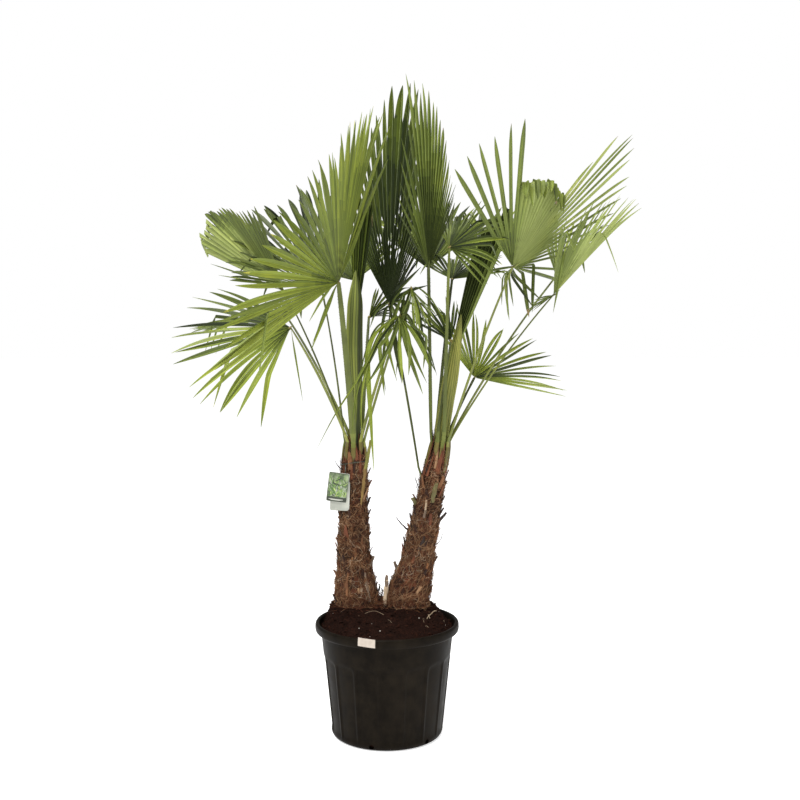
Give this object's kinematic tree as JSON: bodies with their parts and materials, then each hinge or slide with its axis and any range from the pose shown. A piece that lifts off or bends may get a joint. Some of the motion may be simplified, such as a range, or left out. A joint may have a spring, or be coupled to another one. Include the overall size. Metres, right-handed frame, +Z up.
{
  "type": "windmill palm in a nursery pot",
  "caption": "Potted windmill palm with two fibre-covered trunks, each with a crown of fan-shaped fronds on long stalks, in a plain round black container.",
  "frame": {"origin": "centre of the pot's flat underside", "axes": "+Z up along the palm's height, +X towards the trunk that leans, -Y towards the front"},
  "size_m": [1.4665, 1.3114, 2.0383],
  "materials": {
    "pot": "moulded black plastic with a soft sheen",
    "soil": "dark moist potting soil",
    "fibre": "matted brown leaf-base fibre",
    "stalk": "smooth waxy green stalk",
    "leaf": "pleated leathery green leaf",
    "card": "coated card with a plain leaf-green pattern",
    "label": "blank off-white paper label"
  },
  "bodies": {
    "root": {"centre_back_blade": "leaf", "centre_back_petiole": "stalk", "centre_dark_blade": "leaf", "centre_dark_petiole": "stalk", "centre_hanging_blade": "leaf", "centre_hanging_petiole": "stalk", "centre_low_blade": "leaf", "centre_low_petiole": "stalk", "centre_tall_blade": "leaf", "centre_tall_petiole": "stalk", "left_back_blade": "leaf", "left_back_low_blade": "leaf", "left_back_low_petiole": "stalk", "left_back_petiole": "stalk", "left_behind_blade": "leaf", "left_behind_petiole": "stalk", "left_far_blade": "leaf", "left_far_petiole": "stalk", "left_front_blade": "leaf", "left_front_petiole": "stalk", "left_inner_blade": "leaf", "left_inner_petiole": "stalk", "left_low_blade": "leaf", "left_low_petiole": "stalk", "left_spear_blade": "leaf", "pot": "pot", "right_back_blade": "leaf", "right_back_far_blade": "leaf", "right_back_far_petiole": "stalk", "right_back_petiole": "stalk", "right_far_blade": "leaf", "right_far_petiole": "stalk", "right_high_blade": "leaf", "right_high_petiole": "stalk", "right_level_blade": "leaf", "right_level_petiole": "stalk", "right_low_blade": "leaf", "right_low_petiole": "stalk", "right_small_blade": "leaf", "right_small_petiole": "stalk", "right_spear_blade": "leaf", "right_top_blade": "leaf", "right_top_petiole": "stalk", "soil": "soil", "stalks_left": "stalk", "stalks_right": "stalk", "sticker": "label", "tag_back": "card", "tag_front": "card", "trunk_left": "fibre", "trunk_right": "fibre"}
  },
  "joints": []
}
